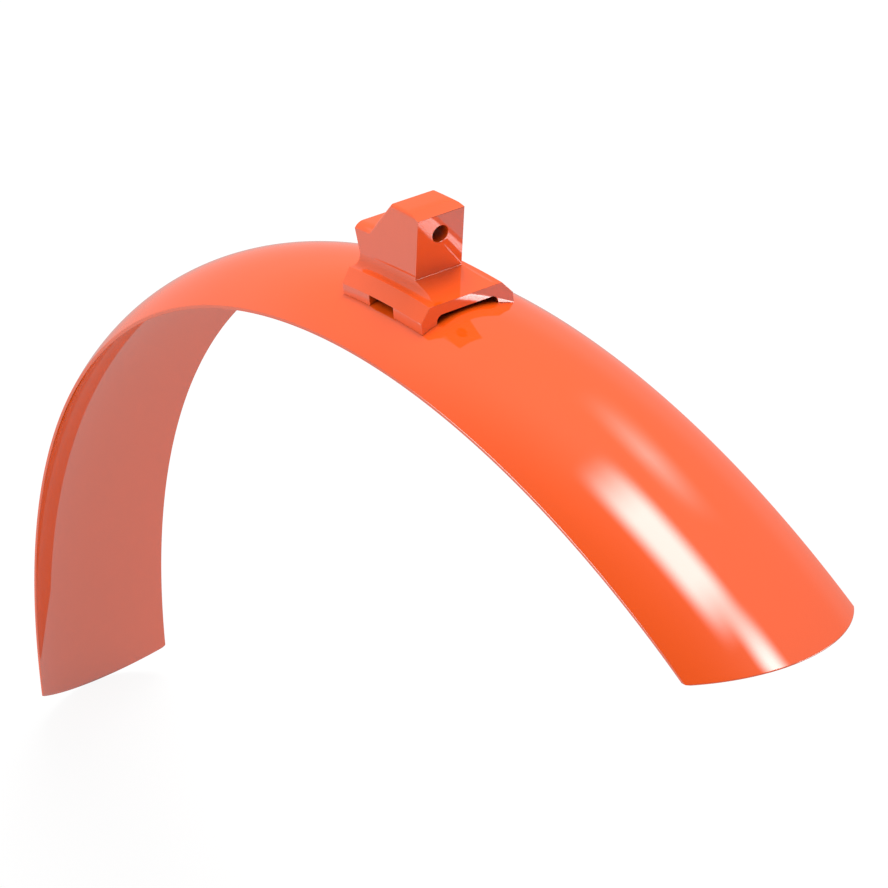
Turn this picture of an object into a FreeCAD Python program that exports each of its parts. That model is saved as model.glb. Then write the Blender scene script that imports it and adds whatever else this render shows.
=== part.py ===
import FreeCAD, Part

import math
import os

from FreeCAD import Placement, Rotation, Vector

# Mudguard for a small front wheel, with the moulded holder that bolts it to the fork.
# Millimetres. The origin is the mouth of the bolt bore, on the holder's front face.
# +X runs out of that bore, +Y across the wheel, +Z up. Angles about the wheel axis
# are in degrees, 0 straight above it and growing towards +X.

# Guard: one thin sheet, an arc about the wheel axis with a crowned section
CROWN_RADIUS = 271.3
SECTION_RADIUS = 42.2
GUARD_WIDTH = 54.4
WALL = 1.0
EDGE_ROUND = 0.3
FRONT_ANGLE = 20.4
REAR_ANGLE = 96.0
FRONT_SLANT = 46.3
REAR_SLANT = 47.3

# Bolt bore: its mouth as seen from the wheel axis, and the seat behind it
BORE_HEIGHT = 18.5
BORE_ANGLE = 10.24
BORE_RADIUS = 2.5
BORE_CHAMFER = 0.2
BORE_LENGTH = 14.0
SEAT_RADIUS = 4.4

# Holder, across the wheel: rails, sloped shoulders, concave flares and the tower
HOLDER_WIDTH = 30.4
RAIL_HEIGHT = 3.15
SHOULDER_WIDTH = 23.8
SHOULDER_HEIGHT = 4.15
FLARE_RADIUS = 3.1
TOWER_WIDTH = 15.3
TOWER_HEIGHT = 25.7
TOWER_ROUND = 1.2

# Holder, along the wheel: front plate, tower top with its front facet, ramp and tail
PLATE_LENGTH = 12.9
PLATE_LEAN = 14.2
FACET_LENGTH = 3.9
FACET_SLOPE = 6.0
TOP_LENGTH = 13.4
RAMP_SLOPE = 55.0
TAIL_HEIGHT = 15.5
TAIL_ROUND = (3.35, 1.5)
TAIL_FOOT = 24.4
TAIL_LEAN = 23.6

# Recess between the rails, and the notch that runs across them
RECESS_WIDTH = 20.2
RECESS_HEIGHT = 1.1
RECESS_ROUND = 2.0
NOTCH_LENGTH = 11.6
NOTCH_BEHIND = 5.4

# Screws from inside the guard up into the holder, and the pads that they draw down
SCREW_BEHIND = (5.4, 20.0)
SCREW_RADIUS = 2.0
SCREW_LENGTH = 10.0
SCREW_CLEARANCE = 0.15
HEAD_RADIUS = 3.8
HEAD_HEIGHT = 2.2
HEAD_ROUND = 1.2
SOCKET_WIDTH = 2.5
SOCKET_DEPTH = 1.3
PAD_RADIUS = 4.6
TIP_ROOM = 1.0

# How deep the holder is cleared under the blade's outer surface
BLADE_SPACE = 3.0

Y_AXIS = Vector(0, 1, 0)
BORE_REACH = CROWN_RADIUS + BORE_HEIGHT
WHEEL_X = BORE_REACH * math.sin(math.radians(BORE_ANGLE))
WHEEL_Z = -BORE_REACH * math.cos(math.radians(BORE_ANGLE))
WHEEL = Vector(WHEEL_X, 0, WHEEL_Z)
HOLDER_SPAN = TAIL_FOOT + PLATE_LENGTH + TOWER_HEIGHT


def section_point(across, radius):
    """A point straight above the wheel axis, where every section is drawn."""
    return Vector(WHEEL_X, across, WHEEL_Z + radius)


def height_at(radius, x):
    """How high a circle about the wheel axis lies at the place x."""
    return WHEEL_Z + math.sqrt(radius ** 2 - (x - WHEEL_X) ** 2)


def angle_at(radius, x):
    """The angle at which a circle about the wheel axis passes the place x."""
    return math.degrees(math.asin((x - WHEEL_X) / radius))


def blade_radius(across, depth=0.0):
    """The distance from the wheel axis to the blade's outer surface, or to a deeper one."""
    arc = SECTION_RADIUS - depth
    return CROWN_RADIUS - SECTION_RADIUS + math.sqrt(arc ** 2 - across ** 2)


def holder_angles():
    """The angles between which the holder's sections are swept, well past both of its ends."""
    return angle_at(CROWN_RADIUS, -HOLDER_SPAN), angle_at(CROWN_RADIUS, HOLDER_SPAN)


def swept(face, start, end):
    """A section carried about the wheel axis from one angle to another."""
    placed = face.copy()
    placed.rotate(WHEEL, Y_AXIS, start)
    return placed.revolve(WHEEL, Y_AXIS, end - start)


def side_prism(points):
    """A prism right across the guard from an outline in the plane of the wheel."""
    corners = [Vector(x, -GUARD_WIDTH, z) for x, z in points]
    outline = Part.makePolygon(corners + corners[:1])
    return Part.Face(outline).extrude(Y_AXIS * 2 * GUARD_WIDTH)


def arch_section(width, top, bottom, run, drop):
    """An upright section with a flat top, its two corners rounded over a run across and a drop."""
    half = width / 2
    radius = (run ** 2 + drop ** 2) / (2 * drop)
    turn = math.asin(run / radius) / 2
    across = half - run + radius * math.sin(turn)
    height = top - radius + radius * math.cos(turn)
    edges = [
        Part.makeLine(section_point(-half, bottom), section_point(half, bottom)),
        Part.makeLine(section_point(run - half, top), section_point(half - run, top)),
    ]
    for side in (-1, 1):
        low = section_point(side * half, top - drop)
        high = section_point(side * (half - run), top)
        edges.append(Part.makeLine(section_point(side * half, bottom), low))
        edges.append(Part.Arc(low, section_point(side * across, height), high).toShape())
    return Part.Face(Part.Wire(Part.__sortEdges__(edges)))


def blade_section(depth):
    """The crowned section, from the outer surface down to a depth under it."""
    half = GUARD_WIDTH / 2
    outer = [section_point(across, blade_radius(across)) for across in (-half, 0, half)]
    inner = [section_point(across, blade_radius(across, depth)) for across in (-half, 0, half)]
    edges = [
        Part.Arc(*outer).toShape(),
        Part.makeLine(outer[-1], inner[-1]),
        Part.Arc(*inner).toShape(),
        Part.makeLine(inner[0], outer[0]),
    ]
    return Part.Face(Part.Wire(Part.__sortEdges__(edges)))


def past_end(angle, slant, side):
    """A block that takes off what lies past a slanted end, where the crown reaches further."""
    turn = side * (angle + slant)
    size = GUARD_WIDTH
    block = Part.makeBox(size, 2 * size, 2 * size, Vector(0 if side > 0 else -size, -size, -size))
    rim = blade_radius(GUARD_WIDTH / 2, WALL)
    corner = WHEEL + Rotation(Y_AXIS, side * angle).multVec(Vector(0, 0, rim))
    block.Placement = Placement(corner, Rotation(Y_AXIS, turn))
    return block


def screw_places():
    """Where each screw's axis passes the crown, with the turn that points it outwards."""
    places = []
    for behind in SCREW_BEHIND:
        turn = Rotation(Y_AXIS, angle_at(CROWN_RADIUS, -behind))
        places.append(Placement(WHEEL, turn).multiply(Placement(Vector(0, 0, CROWN_RADIUS), Rotation())))
    return places


def upright(radius, low, high, place):
    """A cylinder along a screw's axis, between two heights measured from the crown."""
    post = Part.makeCylinder(radius, high - low, Vector(0, 0, low))
    post.Placement = place
    return post


def make_blade():
    """The sheet, swept past both ends, cut back on a slant and rounded along every edge."""
    rim = blade_radius(GUARD_WIDTH / 2, WALL)
    drop = CROWN_RADIUS - rim
    front_reach = math.degrees(2 * drop * math.tan(math.radians(FRONT_SLANT)) / rim)
    rear_reach = math.degrees(2 * drop * math.tan(math.radians(REAR_SLANT)) / rim)
    blade = swept(blade_section(WALL), -REAR_ANGLE - rear_reach, FRONT_ANGLE + front_reach)
    blade = blade.cut(past_end(FRONT_ANGLE, FRONT_SLANT, 1))
    blade = blade.cut(past_end(REAR_ANGLE, REAR_SLANT, -1))
    blade = blade.makeFillet(EDGE_ROUND, blade.Edges)
    for place in screw_places():
        hole = upright(SCREW_RADIUS + SCREW_CLEARANCE, -2 * WALL, WALL, place)
        blade = blade.cut(hole)
    return blade


def base_section():
    """Rails, sloped shoulders and concave flares, up to where the tower's sides start."""
    rail = HOLDER_WIDTH / 2
    rail_top = blade_radius(rail) + RAIL_HEIGHT
    foot = blade_radius(rail, WALL)
    shoulder = CROWN_RADIUS + SHOULDER_HEIGHT
    flare_top = shoulder + FLARE_RADIUS
    flare_end = TOWER_WIDTH / 2 + FLARE_RADIUS
    inset = FLARE_RADIUS * math.sqrt(0.5)
    edges = [
        Part.makeLine(section_point(-rail, foot), section_point(rail, foot)),
        Part.makeLine(section_point(-TOWER_WIDTH / 2, flare_top), section_point(TOWER_WIDTH / 2, flare_top)),
    ]
    for side in (-1, 1):
        corners = [
            section_point(side * rail, foot),
            section_point(side * rail, rail_top),
            section_point(side * SHOULDER_WIDTH / 2, shoulder),
            section_point(side * flare_end, shoulder),
        ]
        edges += [Part.makeLine(a, b) for a, b in zip(corners, corners[1:])]
        middle = section_point(side * (flare_end - inset), flare_top - inset)
        top = section_point(side * TOWER_WIDTH / 2, flare_top)
        edges.append(Part.Arc(corners[-1], middle, top).toShape())
    return Part.Face(Part.Wire(Part.__sortEdges__(edges)))


def ramp_block(start):
    """A block under the ramp, with the tower's rounded edges, from the ramp's top edge down."""
    face = arch_section(TOWER_WIDTH, CROWN_RADIUS, CROWN_RADIUS - HOLDER_SPAN, TOWER_ROUND, TOWER_ROUND)
    face.translate(start - section_point(0, CROWN_RADIUS))
    face.rotate(start, Y_AXIS, -RAMP_SLOPE)
    slope = math.radians(RAMP_SLOPE)
    along = Vector(math.cos(slope), 0, math.sin(slope)) * HOLDER_SPAN
    face.translate(-along)
    return face.extrude(along * 2)


def side_profile():
    """The holder seen from the side: front end, plate, front face, facet on the top, and tail."""
    rail_top = blade_radius(HOLDER_WIDTH / 2) + RAIL_HEIGHT
    plate = height_at(CROWN_RADIUS + SHOULDER_HEIGHT, PLATE_LENGTH)
    facet = height_at(CROWN_RADIUS + TOWER_HEIGHT, -FACET_LENGTH)
    fall = math.tan(math.radians(FACET_SLOPE))
    top = facet + fall * TAIL_FOOT
    tail = Vector(-TAIL_FOOT, 0, height_at(rail_top, -TAIL_FOOT))
    foot = tail + (WHEEL - tail).normalize() * TOWER_HEIGHT
    lean = math.tan(math.radians(TAIL_LEAN))
    front_foot = PLATE_LENGTH + TOWER_HEIGHT * math.tan(math.radians(PLATE_LEAN))
    return side_prism([
        (front_foot, plate - TOWER_HEIGHT),
        (PLATE_LENGTH, plate),
        (0, plate),
        (0, facet - fall * FACET_LENGTH),
        (-FACET_LENGTH - TAIL_FOOT, top),
        (tail.x - lean * (top - tail.z), top),
        (tail.x, tail.z),
        (foot.x, foot.z),
    ])


def across_notch():
    """The notch through both rails, square to the blade."""
    top = blade_radius(HOLDER_WIDTH / 2) + RAIL_HEIGHT
    bottom = blade_radius(HOLDER_WIDTH / 2, WALL)
    half = GUARD_WIDTH / 2
    corners = [
        section_point(-half, bottom),
        section_point(half, bottom),
        section_point(half, top),
        section_point(-half, top),
    ]
    face = Part.Face(Part.makePolygon(corners + corners[:1]))
    rear = angle_at(top, -NOTCH_BEHIND - NOTCH_LENGTH / 2)
    front = angle_at(top, -NOTCH_BEHIND + NOTCH_LENGTH / 2)
    return swept(face, rear, front)


def cut_bore(holder):
    """The bolt bore, its small chamfer, and the flat seat that the ramp is cut back to."""
    back = Vector(-1, 0, 0)
    bore = Part.makeCylinder(BORE_RADIUS, HOLDER_SPAN, Vector(0, 0, 0), back)
    chamfer = Part.makeCone(BORE_RADIUS + BORE_CHAMFER, BORE_RADIUS, BORE_CHAMFER, Vector(0, 0, 0), back)
    seat = Part.makeCylinder(SEAT_RADIUS, HOLDER_SPAN, Vector(-BORE_LENGTH, 0, 0), back)
    for tool in (bore, chamfer, seat):
        holder = holder.cut(tool)
    return holder


def make_holder():
    """Rails, tail and tower in one, with the recess, notch, screw pads and bore."""
    rear, front = holder_angles()
    top = CROWN_RADIUS + TOWER_HEIGHT
    tail = CROWN_RADIUS + TAIL_HEIGHT
    ramp_start = Vector(-TOP_LENGTH, 0, height_at(top, -TOP_LENGTH))

    tower = swept(arch_section(TOWER_WIDTH, top, CROWN_RADIUS, TOWER_ROUND, TOWER_ROUND), rear, front)
    tower = tower.common(ramp_block(ramp_start))
    holder = swept(base_section(), rear, front)
    holder = holder.fuse(swept(arch_section(TOWER_WIDTH, tail, CROWN_RADIUS, *TAIL_ROUND), rear, front))
    holder = holder.fuse(tower)
    holder = holder.common(side_profile())
    under = blade_radius(HOLDER_WIDTH / 2, WALL)
    ceiling = CROWN_RADIUS + RECESS_HEIGHT
    recess = arch_section(RECESS_WIDTH, ceiling, under, RECESS_ROUND, RECESS_ROUND)
    holder = holder.cut(swept(recess, rear, front))
    holder = holder.cut(across_notch())
    for place in screw_places():
        holder = holder.fuse(upright(PAD_RADIUS, -WALL, RECESS_HEIGHT + WALL, place))
    space_of_blade = blade_section(BLADE_SPACE)
    holder = holder.cut(swept(space_of_blade, rear, front))
    hole_top = SCREW_LENGTH + TIP_ROOM - WALL
    for place in screw_places():
        holder = holder.cut(upright(SCREW_RADIUS + SCREW_CLEARANCE, -WALL, hole_top, place))
    return cut_bore(holder).removeSplitter()


def make_screw(place):
    """A button-head screw whose head is drawn up against the blade's inner surface."""
    seat = blade_radius(HEAD_RADIUS, WALL) - CROWN_RADIUS
    seat -= CROWN_RADIUS - math.sqrt(CROWN_RADIUS ** 2 - HEAD_RADIUS ** 2)
    head = Part.makeCylinder(HEAD_RADIUS, HEAD_HEIGHT, Vector(0, 0, seat - HEAD_HEIGHT))
    rim = [edge for edge in head.Edges if edge.BoundBox.ZMax < seat - HEAD_HEIGHT / 2]
    head = head.makeFillet(HEAD_ROUND, rim)
    turns = [Rotation(Vector(0, 0, 1), 60 * k) for k in range(7)]
    corners = [turn.multVec(Vector(SOCKET_WIDTH / math.sqrt(3), 0, seat - HEAD_HEIGHT)) for turn in turns]
    socket = Part.Face(Part.makePolygon(corners)).extrude(Vector(0, 0, SOCKET_DEPTH))
    shank = Part.makeCylinder(SCREW_RADIUS, SCREW_LENGTH, Vector(0, 0, seat))
    screw = head.cut(socket).fuse(shank)
    screw.Placement = place
    return screw


os.makedirs("parts", exist_ok=True)
blade = make_blade()
holder = make_holder()
screws = Part.makeCompound([make_screw(place) for place in screw_places()])
for name, shape in (("guard_blade", blade), ("holder", holder), ("fixing_screws", screws)):
    print(name, "valid", shape.isValid(), "solids", len(shape.Solids), "volume", round(shape.Volume, 1))
    shape.exportStep("parts/" + name + ".step")
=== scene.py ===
# %% [markdown]
# # A moulded wheel mudguard with its holder
#
# This lesson dresses a finished CAD part: a thin orange mudguard that arches over a small wheel, and the
# moulded block on its crown that one bolt fixes to the fork. The CAD part is loaded as a fixed frame.
# Everything that is added here is in metres, in that same frame: +X points out of the bolt's bore,
# +Y goes across the wheel and +Z is up.

import math

import bmesh
import bpy
from mathutils import Matrix, Vector


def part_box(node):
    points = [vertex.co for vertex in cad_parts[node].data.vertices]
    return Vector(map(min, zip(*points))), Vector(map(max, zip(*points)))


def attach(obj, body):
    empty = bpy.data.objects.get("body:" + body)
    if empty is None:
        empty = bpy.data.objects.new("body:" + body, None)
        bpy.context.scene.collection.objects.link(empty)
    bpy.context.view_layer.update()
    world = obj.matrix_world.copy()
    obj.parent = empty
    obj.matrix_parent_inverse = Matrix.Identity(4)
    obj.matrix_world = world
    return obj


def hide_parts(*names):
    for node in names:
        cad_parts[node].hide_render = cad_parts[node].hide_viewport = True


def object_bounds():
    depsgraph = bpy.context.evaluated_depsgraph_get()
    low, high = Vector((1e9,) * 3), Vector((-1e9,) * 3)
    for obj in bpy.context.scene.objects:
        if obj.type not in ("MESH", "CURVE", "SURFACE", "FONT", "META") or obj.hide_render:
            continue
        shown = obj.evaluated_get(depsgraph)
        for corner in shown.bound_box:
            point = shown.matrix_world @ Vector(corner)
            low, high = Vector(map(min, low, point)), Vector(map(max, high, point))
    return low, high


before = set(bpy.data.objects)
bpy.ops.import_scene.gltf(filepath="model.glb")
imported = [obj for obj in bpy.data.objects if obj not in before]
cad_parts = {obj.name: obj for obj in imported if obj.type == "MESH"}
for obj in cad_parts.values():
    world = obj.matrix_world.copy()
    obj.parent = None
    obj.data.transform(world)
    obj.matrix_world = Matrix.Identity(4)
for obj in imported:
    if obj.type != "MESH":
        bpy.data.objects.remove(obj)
cad_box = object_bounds()
MM = 0.001
print("CAD nodes:", sorted(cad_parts))
print("CAD box in mm:", [[round(value / MM, 1) for value in corner] for corner in cad_box])

# %% [markdown]
# ## Finding the wheel
#
# The guard is an arc about the wheel's axle, so its section is spun about that axle, and its screw holes
# point at it. The frame says where the axle is. The guard's box touches the arc at its rearmost point and
# at its crown, and each of those lies one crown radius from the axle.

# %% The wheel's axle, from the guard's own box
CROWN_RADIUS = 271.3 * MM
guard_low, guard_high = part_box("guard_blade")
axle = Vector((guard_low.x + CROWN_RADIUS, 0, guard_high.z - CROWN_RADIUS))
GUARD_WIDTH = guard_high.y - guard_low.y
Y_AXIS = Vector((0, 1, 0))
print("axle in mm:", [round(value / MM, 2) for value in axle])
print("guard width in mm:", round(GUARD_WIDTH / MM, 2))

# %% [markdown]
# ## Helpers that turn a bmesh into a piece
#
# A finished piece is an object at the origin whose place is in its mesh, so that it needs no fitting.
# Smooth shading alone would round off the flat faces as well. A Weighted Normal modifier lets the large
# faces decide the shading, and the small rounded edges carry the whole turn, as on a real moulding.

# %% Helpers for pieces
SAME_PLACE = 0.001 * MM
FULL_WEIGHT = 100


def make_piece(name, bm):
    """A smooth-shaded object from a bmesh, in place, with its normals outwards."""
    bmesh.ops.remove_doubles(bm, verts=bm.verts, dist=SAME_PLACE)
    bmesh.ops.recalc_face_normals(bm, faces=bm.faces)
    mesh = bpy.data.meshes.new(name)
    bm.to_mesh(mesh)
    bm.free()
    mesh.shade_smooth()
    piece = bpy.data.objects.new(name, mesh)
    bpy.context.scene.collection.objects.link(piece)
    return piece


def weigh_normals(piece):
    """Large faces set the shading, so that flats stay flat beside a small round."""
    weighted = piece.modifiers.new("Even flats", "WEIGHTED_NORMAL")
    weighted.mode = "FACE_AREA"
    weighted.weight = FULL_WEIGHT
    weighted.keep_sharp = True


# %% [markdown]
# ## The guard's section
#
# Real guards like this one are moulded as a thin sheet with a crowned section: seen along the wheel it
# is a shallow arc, about 54 mm wide, and only 1 mm thick. One vertex spun about the section's own centre
# draws the outer arc, a second one draws the inner arc, and bridging the two gives a strip of faces.
# The inner arc ends a little short of the rim, as the draft of a mould leaves it.

# %% The section as a strip of faces
SECTION_RADIUS = 42.2 * MM
WALL = 1.0 * MM
RIM_DRAFT = 0.2 * MM
STEPS_ACROSS = 56
HALF_WIDTH = GUARD_WIDTH / 2
section_centre = axle + Vector((0, 0, CROWN_RADIUS - SECTION_RADIUS))


def spun_arc(bm, radius, half_width):
    """An arc of edges over the section's centre, from one rim to the other."""
    reach = math.asin(half_width / radius)
    start = section_centre + Vector((0, -half_width, radius * math.cos(reach)))
    first = bmesh.ops.create_vert(bm, co=start)["vert"][0]
    known = set(bm.edges)
    bmesh.ops.spin(
        bm, geom=[first], cent=section_centre, axis=Vector((-1, 0, 0)),
        angle=2 * reach, steps=STEPS_ACROSS, use_merge=False, use_duplicate=False,
    )
    return [edge for edge in bm.edges if edge not in known]


guard_bm = bmesh.new()
outer_arc = spun_arc(guard_bm, SECTION_RADIUS, HALF_WIDTH)
inner_arc = spun_arc(guard_bm, SECTION_RADIUS - WALL, HALF_WIDTH - RIM_DRAFT)
bmesh.ops.bridge_loops(guard_bm, edges=outer_arc + inner_arc)
print("section faces:", len(guard_bm.faces))

# %% [markdown]
# ## Spinning the section about the axle
#
# Spinning faces rather than edges makes a closed body, with a cap at each end. It runs a little past a
# quarter turn towards the rear and about 20 degrees towards the front.

# %% Spin the strip into a closed arch
FRONT_ANGLE = math.radians(20.4)
REAR_ANGLE = math.radians(96.0)
STEPS_ALONG = 300

to_rear = Matrix.Rotation(-REAR_ANGLE, 3, "Y")
bmesh.ops.rotate(guard_bm, cent=axle, matrix=to_rear, verts=guard_bm.verts)
bmesh.ops.spin(
    guard_bm, geom=guard_bm.faces[:], cent=axle, axis=Y_AXIS,
    angle=REAR_ANGLE + FRONT_ANGLE, steps=STEPS_ALONG, use_merge=False, use_duplicate=False,
)
print("arch faces:", len(guard_bm.faces))
print("open edges:", sum(edge.is_boundary for edge in guard_bm.edges))

# %% [markdown]
# ## Slanting the two ends
#
# Both ends are cut by a plane that leans outwards, so the crown reaches further than the rims. Cutting
# with a plane would leave slivers beside the cut. Instead every row of vertices is stretched along its
# own circle until its ends lie on the two planes, and the faces stay even all the way.

# %% Stretch every row to the slanted ends
FRONT_SLANT = math.radians(46.3)
REAR_SLANT = math.radians(47.3)
rim_arc = SECTION_RADIUS - WALL
rim_radius = CROWN_RADIUS - SECTION_RADIUS + math.sqrt(rim_arc ** 2 - HALF_WIDTH ** 2)


def end_angle(angle, slant, radius):
    """Where a circle of this radius meets the plane that leans out from the rim's corner."""
    return angle + slant - math.asin(rim_radius * math.sin(slant) / radius)


for vert in guard_bm.verts:
    arm = vert.co - axle
    radius = math.hypot(arm.x, arm.z)
    share = (math.atan2(arm.x, arm.z) + REAR_ANGLE) / (REAR_ANGLE + FRONT_ANGLE)
    rear = -end_angle(REAR_ANGLE, REAR_SLANT, radius)
    front = end_angle(FRONT_ANGLE, FRONT_SLANT, radius)
    angle = rear + share * (front - rear)
    vert.co = axle + Vector((radius * math.sin(angle), arm.y, radius * math.cos(angle)))
print("inner radius at the rims in mm:", round(rim_radius / MM, 2))

# %% [markdown]
# ## Rounding the sheet's edges
#
# A moulded sheet never ends in a knife edge: a round of 0.3 mm runs along both rims and round both ends.
# It is what catches the thin bright line along the rim. Only edges that turn sharply are rounded.

# %% Round the rims and the ends, and make the piece
EDGE_ROUND = 0.3 * MM
ROUND_STEPS = 4
SHARP_TURN = math.radians(30)

sharp_edges = [edge for edge in guard_bm.edges if edge.calc_face_angle(0) > SHARP_TURN]
bmesh.ops.bevel(
    guard_bm, geom=sharp_edges, offset=EDGE_ROUND, offset_type="OFFSET", affect="EDGES",
    segments=ROUND_STEPS, profile=0.5, material=-1, clamp_overlap=True,
)
guard = make_piece("guard_sheet", guard_bm)
print("guard faces:", len(guard.data.polygons))

# %% [markdown]
# ## The two screw holes
#
# Two screws come up through the sheet into the holder. Their heads and the holder hide the holes, but a
# sheet without them would be cut through by the screws. A Boolean modifier takes two cylinders out, and
# its result is kept as the mesh. Each hole's place is given by its distance behind the bore's mouth.

# %% Cut the holes
SCREW_BEHIND = (5.4 * MM, 20.0 * MM)
HOLE_RADIUS = 2.15 * MM
HOLE_DEPTH = 8.0 * MM
HOLE_STEPS = 48

cutter_bm = bmesh.new()
for behind in SCREW_BEHIND:
    lean = math.asin((-behind - axle.x) / CROWN_RADIUS)
    hole_place = Matrix.Translation(axle) @ Matrix.Rotation(lean, 4, "Y")
    hole_place = hole_place @ Matrix.Translation((0, 0, CROWN_RADIUS))
    bmesh.ops.create_cone(
        cutter_bm, cap_ends=True, segments=HOLE_STEPS, radius1=HOLE_RADIUS, radius2=HOLE_RADIUS,
        depth=HOLE_DEPTH, matrix=hole_place,
    )
cutter = make_piece("hole_cutter", cutter_bm)
holes = guard.modifiers.new("Screw holes", "BOOLEAN")
holes.operation = "DIFFERENCE"
holes.object = cutter
pierced = bpy.data.meshes.new_from_object(guard.evaluated_get(bpy.context.evaluated_depsgraph_get()))
guard.modifiers.clear()
guard.data = pierced
guard.data.name = "guard_sheet"
bpy.data.objects.remove(cutter)
guard.data.set_sharp_from_angle(angle=SHARP_TURN)
weigh_normals(guard)
print("guard faces with the holes:", len(guard.data.polygons))

# %% [markdown]
# ## The holder
#
# The holder's shape is already exact in the CAD part: rails, sloped shoulders, concave flares, the tower
# with its bore, and a recess under the front plate. Its mesh is loose triangles, so a copy is welded and
# its flat areas are joined into single faces. Edges that turn sharply are then broken by a tenth of a
# millimetre, as a mould would leave them. A break of 0.15 mm left a dark speck beside the tower's foot.

# %% The holder from a welded copy of the CAD node
WELD = 0.01 * MM
FLAT_TURN = math.radians(0.5)
BROKEN_TURN = math.radians(25)
BROKEN_EDGE = 0.1 * MM
BROKEN_STEPS = 2
SLIVER = 0.4 * MM ** 2
CREASE_TURN = math.radians(35)


def is_broken(edge):
    """An edge that turns sharply and lies beside no sliver of a face."""
    turns = edge.calc_face_angle(0) > BROKEN_TURN
    return turns and min(face.calc_area() for face in edge.link_faces) > SLIVER


holder_bm = bmesh.new()
holder_bm.from_mesh(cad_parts["holder"].data)
bmesh.ops.remove_doubles(holder_bm, verts=holder_bm.verts, dist=WELD)
bmesh.ops.dissolve_limit(
    holder_bm, angle_limit=FLAT_TURN, verts=holder_bm.verts, edges=holder_bm.edges,
    use_dissolve_boundaries=False,
)
broken = [edge for edge in holder_bm.edges if is_broken(edge)]
bmesh.ops.bevel(
    holder_bm, geom=broken, offset=BROKEN_EDGE, offset_type="OFFSET", affect="EDGES",
    segments=BROKEN_STEPS, profile=0.5, material=-1, clamp_overlap=False,
)
holder = make_piece("holder_block", holder_bm)
holder.data.set_sharp_from_angle(angle=CREASE_TURN)
weigh_normals(holder)
print("broken edges:", len(broken))
print("holder faces:", len(holder.data.polygons))

# %% [markdown]
# ## Building shader nodes
#
# Every material below is a small tree of nodes. A few helpers keep each tree short: one adds a node with
# its settings and inputs, one starts a material, and the others map or mix a value. Textures use Object
# coordinates, so they stay on the piece wherever the camera goes.

# %% Helpers for shader nodes
NOISE_LOW = 0.3
NOISE_HIGH = 0.7


def add_node(tree, kind, settings=None, **inputs):
    """A shader node with its settings, and with some of its inputs set or linked.

    An underscore in an input's name stands for a space, and in0, in1 and so on give an input by its place.
    """
    node = tree.nodes.new(kind)
    for name, value in (settings or {}).items():
        setattr(node, name, value)
    for name, value in inputs.items():
        by_place = name.startswith("in") and name[2:].isdigit()
        socket = node.inputs[int(name[2:]) if by_place else name.replace("_", " ")]
        if isinstance(value, bpy.types.NodeSocket):
            tree.links.new(value, socket)
        else:
            socket.default_value = value
    return node


def new_material(name):
    """A material with an empty tree, its Object coordinates and its output."""
    material = bpy.data.materials.new(name)
    material.use_nodes = True
    tree = material.node_tree
    tree.nodes.clear()
    place = tree.nodes.new("ShaderNodeTexCoord").outputs["Object"]
    output = tree.nodes.new("ShaderNodeOutputMaterial")
    return material, tree, place, output


def ranged(tree, value, low, high):
    """A noise value mapped onto a range."""
    return add_node(
        tree, "ShaderNodeMapRange", Value=value, From_Min=NOISE_LOW, From_Max=NOISE_HIGH,
        To_Min=low, To_Max=high,
    ).outputs["Result"]


def mix_colours(tree, factor, first, second):
    """A colour between two others. A Mix node has them at inputs 6 and 7, and the result at output 2."""
    node = add_node(tree, "ShaderNodeMix", {"data_type": "RGBA"}, in0=factor, in6=first, in7=second)
    return node.outputs[2]


# %% [markdown]
# ## Glossy orange plastic
#
# Both mouldings have one colour and one gloss: a saturated orange with a clear, hard shine. The colour
# is the diffuse part. Narrow places, such as the bore, the notch and the recess, hold little light, and
# an occlusion node paints shade into the colour there, darkening the orange towards a painted shade.

# %% The plastic's colour, with painted shade in narrow places
ORANGE = (0.90, 0.095, 0.006, 1)
DEEP_ORANGE = (0.86, 0.088, 0.005, 1)
# The next colour is painted shade: the darkest the orange gets in the bore, the notch and the recess.
PAINTED_SHADE_ORANGE = (0.15, 0.011, 0.001, 1)
SLOW_SCALE = 35.0
SLOW_DETAIL = 3.0
PAINTED_SHADE_REACH = 8.0 * MM
PAINTED_SHADE_SAMPLES = 8
PAINTED_SHADE_FULL = 0.1
PAINTED_SHADE_NONE = 0.5

plastic, tree, place, output = new_material("orange_gloss")
slow = add_node(tree, "ShaderNodeTexNoise", Vector=place, Scale=SLOW_SCALE, Detail=SLOW_DETAIL)
tint = mix_colours(tree, slow.outputs["Fac"], ORANGE, DEEP_ORANGE)
# An occlusion node paints shade into the colour: the more closed in a place is, the closer it comes to the
# painted shade.
shade_occlusion = add_node(tree, "ShaderNodeAmbientOcclusion", {"samples": PAINTED_SHADE_SAMPLES}, Distance=PAINTED_SHADE_REACH)
unshaded = add_node(
    tree, "ShaderNodeMapRange", Value=shade_occlusion.outputs["AO"], From_Min=PAINTED_SHADE_FULL, From_Max=PAINTED_SHADE_NONE,
).outputs["Result"]
colour = mix_colours(tree, unshaded, PAINTED_SHADE_ORANGE, tint)
print("nodes for the colour:", len(tree.nodes))

# %% [markdown]
# ## The plastic's shine
#
# The shine mirrors the studio strongly, even where the surface faces the viewer, so the index of
# refraction is set well above that of bare plastic. A slow, faint change of roughness and a very shallow
# ripple keep the shine from looking computed.

# %% The plastic's shine
SHINE_IOR = 2.8
SHINE_ROUGHNESS = (0.03, 0.05)
RIPPLE_SCALE = 420.0
RIPPLE_DETAIL = 2.0
RIPPLE_STRENGTH = 0.05
RIPPLE_DEPTH = 0.02 * MM

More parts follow.
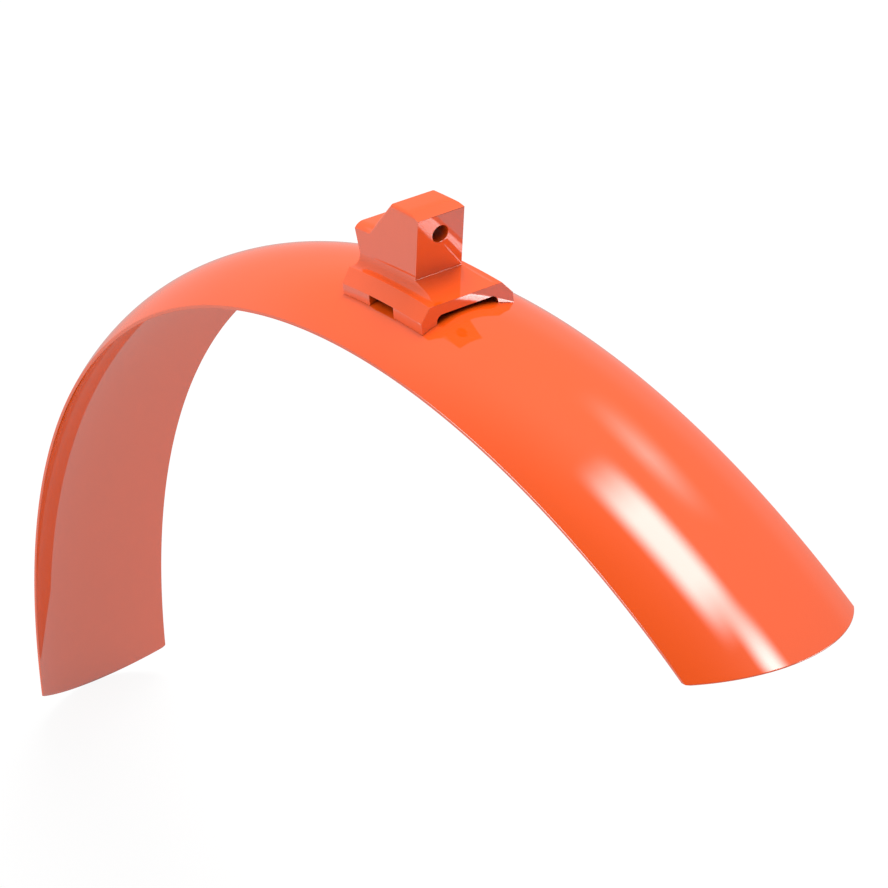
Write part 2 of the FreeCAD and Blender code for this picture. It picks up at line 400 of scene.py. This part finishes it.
fine = add_node(tree, "ShaderNodeTexNoise", Vector=place, Scale=RIPPLE_SCALE, Detail=RIPPLE_DETAIL)
ripple = add_node(
    tree, "ShaderNodeBump", Strength=RIPPLE_STRENGTH, Distance=RIPPLE_DEPTH, Height=fine.outputs["Fac"],
)
shader = add_node(
    tree, "ShaderNodeBsdfPrincipled", Base_Color=colour, IOR=SHINE_IOR,
    Roughness=ranged(tree, slow.outputs["Fac"], *SHINE_ROUGHNESS), Normal=ripple.outputs["Normal"],
)
tree.links.new(shader.outputs["BSDF"], output.inputs["Surface"])
print("orange plastic nodes:", len(tree.nodes))

# %% [markdown]
# ## Steel for the two fixing screws
#
# The screws sit on the wheel side, with button heads against the sheet. Plated steel is a metal with a
# medium gloss and fine turning marks, drawn here by noise that is stretched across the screw's axis.

# %% The screws' steel
STEEL = (0.56, 0.57, 0.60, 1)
STEEL_ROUGHNESS = (0.28, 0.42)
MARKS_ACROSS = 900.0
MARKS_ALONG = 9000.0
MARK_DETAIL = 2.0
MARK_STRENGTH = 0.15
MARK_DEPTH = 0.02 * MM

steel, tree, place, output = new_material("plated_steel")
stretch = add_node(tree, "ShaderNodeMapping", Vector=place, Scale=(MARKS_ACROSS, MARKS_ACROSS, MARKS_ALONG))
marks = add_node(tree, "ShaderNodeTexNoise", Vector=stretch.outputs["Vector"], Scale=1.0, Detail=MARK_DETAIL)
scratch = add_node(
    tree, "ShaderNodeBump", Strength=MARK_STRENGTH, Distance=MARK_DEPTH, Height=marks.outputs["Fac"],
)
shader = add_node(
    tree, "ShaderNodeBsdfPrincipled", Base_Color=STEEL, Metallic=1.0,
    Roughness=ranged(tree, marks.outputs["Fac"], *STEEL_ROUGHNESS), Normal=scratch.outputs["Normal"],
)
tree.links.new(shader.outputs["BSDF"], output.inputs["Surface"])
print("steel nodes:", len(tree.nodes))

# %% [markdown]
# ## Dressing the pieces
#
# Each piece wears one material. The guard and the holder stand for the CAD nodes of the same shape, which
# are hidden, and they wear one material, because both are the same plastic. The screws are the CAD node
# itself, so they only need the steel.

# %% Dress the pieces, and hide the CAD nodes that they stand for
def dress(piece, material):
    """The piece wears this one material."""
    piece.data.materials.clear()
    piece.data.materials.append(material)


dress(guard, plastic)
dress(holder, plastic)
dress(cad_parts["fixing_screws"], steel)

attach(guard, "root")
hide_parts("guard_blade")
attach(holder, "root")
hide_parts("holder")
print("dressed:", guard.name, holder.name, "fixing_screws")

# %% [markdown]
# ## The floor
#
# The part lies in a white studio. The floor is pale and keeps a faint shadow, and camera rays see it
# lifted nearly to white. It sends only some of its light back up, and the plastic doesn't mirror it: what
# is mirrored is the grey room of the next step.

# %% A pale floor under the part
FLOOR_REACH = 6.0
FLOOR_GAP = 0.5 * MM
FLOOR_WHITE = (0.85, 0.85, 0.85, 1)
FLOOR_BOUNCE = (0.56, 0.56, 0.56, 1)
FLOOR_LIFT = 0.9


def maths(tree, operation, first, second=0.0):
    """One step of arithmetic between sockets or numbers."""
    node = add_node(tree, "ShaderNodeMath", {"operation": operation}, in0=first, in1=second)
    return node.outputs["Value"]


floor_bm = bmesh.new()
bmesh.ops.create_grid(floor_bm, x_segments=1, y_segments=1, size=FLOOR_REACH)
bmesh.ops.translate(floor_bm, vec=(0, 0, cad_box[0].z - FLOOR_GAP), verts=floor_bm.verts)
floor = make_piece("floor", floor_bm)

paper, tree, _, output = new_material("white_paper")
rays = tree.nodes.new("ShaderNodeLightPath").outputs
shade = mix_colours(tree, rays["Is Diffuse Ray"], FLOOR_WHITE, FLOOR_BOUNCE)
matt = add_node(tree, "ShaderNodeBsdfDiffuse", Color=shade)
white = add_node(tree, "ShaderNodeEmission", Strength=1.0)
lift = maths(tree, "MULTIPLY", rays["Is Camera Ray"], FLOOR_LIFT)
mixed = add_node(
    tree, "ShaderNodeMixShader", in0=lift, in1=matt.outputs["BSDF"], in2=white.outputs["Emission"],
)
tree.links.new(mixed.outputs["Shader"], output.inputs["Surface"])
dress(floor, paper)
floor.visible_glossy = False
print("floor height in mm:", round(floor.data.vertices[0].co.z / MM, 1))

# %% [markdown]
# ## The studio
#
# The plastic shows the studio that surrounds it, so the world is drawn by direction. What is mirrored is
# a grey room, darker above the near side and paler below and along the horizon. In it are three soft
# boxes overhead, one round lamp low on the near side, and a bright wall low on the far side.

# %% Helpers for values that depend on a direction
def soft_step(tree, value, start, end):
    """0 before start and 1 after end, with a smooth way between them."""
    return add_node(
        tree, "ShaderNodeMapRange", {"interpolation_type": "SMOOTHSTEP"},
        Value=value, From_Min=start, From_Max=end,
    ).outputs["Result"]


def towards(tree, direction, aim):
    """How closely a direction points at an aim, from -1 to 1."""
    return add_node(
        tree, "ShaderNodeVectorMath", {"operation": "DOT_PRODUCT"},
        in0=direction, in1=Vector(aim).normalized(),
    ).outputs["Value"]


# %% The grey room
ROOM_LEVEL = 0.28
GROUND_LEVEL = 0.225
GROUND_RANGE = (0.0, -0.4)
HORIZON_LEVEL = 0.095
HORIZON_RANGE = (0.35, 0.0)
DARK_SIDE = (0.15, -0.85, 0.50)
DARK_RANGE = (0.2, 1.05)
DARK_LEVEL = 0.04

world = bpy.data.worlds.new("studio")
bpy.context.scene.world = world
world.use_nodes = True
tree = world.node_tree
tree.nodes.clear()
direction = tree.nodes.new("ShaderNodeTexCoord").outputs["Generated"]
parts = add_node(tree, "ShaderNodeSeparateXYZ", Vector=direction).outputs

darkness = soft_step(tree, towards(tree, direction, DARK_SIDE), *DARK_RANGE)
room = maths(tree, "SUBTRACT", ROOM_LEVEL, maths(tree, "MULTIPLY", darkness, ROOM_LEVEL - DARK_LEVEL))
ground = maths(tree, "MULTIPLY", soft_step(tree, parts["Z"], *GROUND_RANGE), GROUND_LEVEL)
horizon = soft_step(tree, maths(tree, "ABSOLUTE", parts["Z"]), *HORIZON_RANGE)
mirrored = maths(tree, "ADD", room, ground)
mirrored = maths(tree, "ADD", mirrored, maths(tree, "MULTIPLY", horizon, HORIZON_LEVEL))
print("nodes for the room:", len(tree.nodes))

# %% [markdown]
# ## The soft boxes
#
# A real soft box is a flat lamp behind cloth, so its reflection is an even patch with a soft edge. Each
# one is given by the X and Y of the directions that it fills: a centre, a half size, and the half width
# of its soft edge. Only directions that point well upwards count.

# %% The soft boxes overhead
SOFTBOXES = (
    {"centre": (-0.175, 0.035), "half": (0.175, 0.17), "edge": (0.095, 0.10), "level": 3.44},
    {"centre": (0.20, 0.155), "half": (0.14, 0.10), "edge": (0.09, 0.09), "level": 3.8},
    {"centre": (-0.40, 0.57), "half": (0.08, 0.08), "edge": (0.11, 0.10), "level": 1.05},
)
OVERHEAD_RANGE = (0.4, 0.5)

for box in SOFTBOXES:
    mask = soft_step(tree, parts["Z"], *OVERHEAD_RANGE)
    for axis, centre, half, edge in zip("XY", box["centre"], box["half"], box["edge"]):
        offset = maths(tree, "ABSOLUTE", maths(tree, "SUBTRACT", parts[axis], centre))
        mask = maths(tree, "MULTIPLY", mask, soft_step(tree, offset, half + edge, half - edge))
    mirrored = maths(tree, "ADD", mirrored, maths(tree, "MULTIPLY", mask, box["level"]))
print("soft boxes:", len(SOFTBOXES))

# %% [markdown]
# ## The lamp and the wall
#
# The round lamp draws the thin bright line along the near rim, on the guard's front half. The wall draws
# the pale streaks on the tower's front and on the front plate. It grows taller towards the rear, and its
# glow falls that way by WALL_FADE.

# %% The round lamp and the bright wall
LAMP_AIM = (-0.54, -0.84, 0.03)
LAMP_RANGE = (0.965, 0.985)
LAMP_LEVEL = 2.4
WALL_AIM = (0.72, 0.69, 0.0)
WALL_SIDEWAYS = (-0.69, 0.72, 0.0)
WALL_FRONT_RANGE = (0.0, 0.1)
WALL_HALF_WIDTH = 0.36
WALL_MIDDLE = 0.055
WALL_HALF_HEIGHT = 0.175
WALL_SPREAD = 0.17
WALL_EDGE = 0.04
WALL_GLOW = 3.9
WALL_FADE = -5.2

spot = soft_step(tree, towards(tree, direction, LAMP_AIM), *LAMP_RANGE)
mirrored = maths(tree, "ADD", mirrored, maths(tree, "MULTIPLY", spot, LAMP_LEVEL))

aside = towards(tree, direction, WALL_SIDEWAYS)
above = maths(tree, "ABSOLUTE", maths(tree, "SUBTRACT", parts["Z"], WALL_MIDDLE))
above = maths(tree, "SUBTRACT", above, maths(tree, "MULTIPLY", aside, WALL_SPREAD))
glow = maths(tree, "ADD", maths(tree, "MULTIPLY", aside, WALL_FADE), WALL_GLOW)
aside = maths(tree, "ABSOLUTE", aside)
mask = soft_step(tree, towards(tree, direction, WALL_AIM), *WALL_FRONT_RANGE)
for offset, half in ((aside, WALL_HALF_WIDTH), (above, WALL_HALF_HEIGHT)):
    mask = maths(tree, "MULTIPLY", mask, soft_step(tree, offset, half + WALL_EDGE, half - WALL_EDGE))
mirrored = maths(tree, "ADD", mirrored, maths(tree, "MULTIPLY", mask, glow))
print("nodes for all that is mirrored:", len(tree.nodes))

# %% [markdown]
# ## What lights and what is seen
#
# Surfaces are lit by a pale dome, stronger on the near side and a little weaker at the front. Only
# mirrored rays see the room, and the camera sees plain white, so the background needs no extra light.

# %% The dome, and what each kind of ray sees
DOME_LEVEL = 0.67
SIDE_RANGE = (0.3, 1.0)
SIDE_LIGHT = (((-0.15, -1.0, 0.0), 1.0), ((1.0, -0.1, 0.2), -0.08))
SKY_WHITE = (1.0, 1.0, 1.0, 1.0)


def mix_levels(tree, factor, first, second):
    """A level between two others. A Mix node has them at inputs 2 and 3, and the result at output 0."""
    return add_node(tree, "ShaderNodeMix", in0=factor, in2=first, in3=second).outputs[0]


dome = DOME_LEVEL
for aim, level in SIDE_LIGHT:
    side = maths(tree, "MULTIPLY", soft_step(tree, towards(tree, direction, aim), *SIDE_RANGE), level)
    dome = maths(tree, "ADD", side, dome)
rays = tree.nodes.new("ShaderNodeLightPath").outputs
lit_or_mirrored = mix_levels(tree, rays["Is Glossy Ray"], dome, mirrored)
strength = mix_levels(tree, rays["Is Camera Ray"], lit_or_mirrored, 1.0)
background = add_node(tree, "ShaderNodeBackground", Color=SKY_WHITE, Strength=strength)
add_node(tree, "ShaderNodeOutputWorld", Surface=background.outputs["Background"])
print("studio nodes:", len(tree.nodes))

# %% [markdown]
# ## The lamp that lights surfaces
#
# One large area lamp overhead gives the shapes their light and shade. It is hidden from mirrored rays,
# because the soft boxes already stand for it in the gloss.

# %% The overhead lamp
KEY_AIM = (-0.32, 0.26, 0.91)
KEY_DISTANCE = 1.6
KEY_SIDE = 0.9
KEY_POWER = 26.0

low, high = cad_box
middle = (low + high) / 2
overhead = Vector(KEY_AIM).normalized()
key = bpy.data.lights.new("overhead", "AREA")
key.shape = "SQUARE"
key.size = KEY_SIDE
key.energy = KEY_POWER
key_object = bpy.data.objects.new("overhead", key)
key_object.location = middle + overhead * KEY_DISTANCE
key_object.rotation_euler = overhead.to_track_quat("Z", "Y").to_euler()
key_object.visible_glossy = False
bpy.context.scene.collection.objects.link(key_object)
print("lamp above the part in mm:", round((key_object.location.z - high.z) / MM))

# %% [markdown]
# ## The camera
#
# The picture is taken from the front, the near side and above, with a long lens, and the camera
# leans about three degrees, which makes the arch look as if it stood on its two ends.

# %% The camera
CAMERA_PLACE = Vector((494.22, -363.01, 388.93)) * MM
CAMERA_AZIMUTH = math.radians(53.36)
CAMERA_ELEVATION = math.radians(36.85)
CAMERA_ROLL = math.radians(2.73)
CAMERA_LENS = 108.92
CAMERA_CLIP = 10.0 * MM
SENSOR = 36.0

camera_data = bpy.data.cameras.new("camera")
camera_data.lens = CAMERA_LENS
camera_data.sensor_width = SENSOR
camera_data.clip_start = CAMERA_CLIP
camera = bpy.data.objects.new("camera", camera_data)
turn = Matrix.Rotation(CAMERA_AZIMUTH, 4, "Z") @ Matrix.Rotation(math.pi / 2 - CAMERA_ELEVATION, 4, "X")
camera.matrix_world = Matrix.Translation(CAMERA_PLACE) @ turn @ Matrix.Rotation(CAMERA_ROLL, 4, "Z")
bpy.context.scene.collection.objects.link(camera)
bpy.context.scene.camera = camera
bpy.context.scene.view_settings.view_transform = "Standard"
print("camera to the middle of the part in mm:", round((CAMERA_PLACE - middle).length / MM))

# %% [markdown]
# ## Finishing
#
# The view layer is brought up to date at the end.

# %% Finish
bpy.context.view_layer.update()
